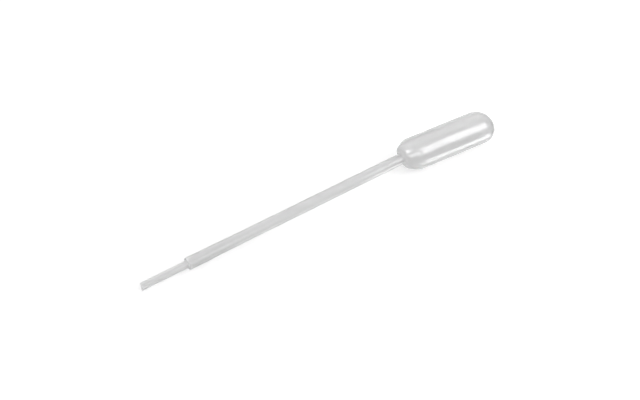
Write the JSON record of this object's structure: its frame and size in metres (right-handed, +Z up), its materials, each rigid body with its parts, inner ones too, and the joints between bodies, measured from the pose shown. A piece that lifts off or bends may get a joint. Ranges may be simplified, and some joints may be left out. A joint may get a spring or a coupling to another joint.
{
  "type": "plastic dropper pipette",
  "caption": "One-piece translucent plastic dropper with a squeeze bulb, a long thin stem and a stepped fine tip, for moving small amounts of liquid.",
  "frame": {"origin": "on the surface that it lies on, under the middle of its length and of the bulb's width", "axes": "+X along the bulb's axis, towards the domed end; +Z up; the tip points towards -X"},
  "size_m": [0.1552, 0.013, 0.0131],
  "materials": {
    "ldpe": "natural translucent polyethylene, satin"
  },
  "bodies": {
    "root": {"pipette": "ldpe"}
  },
  "joints": []
}
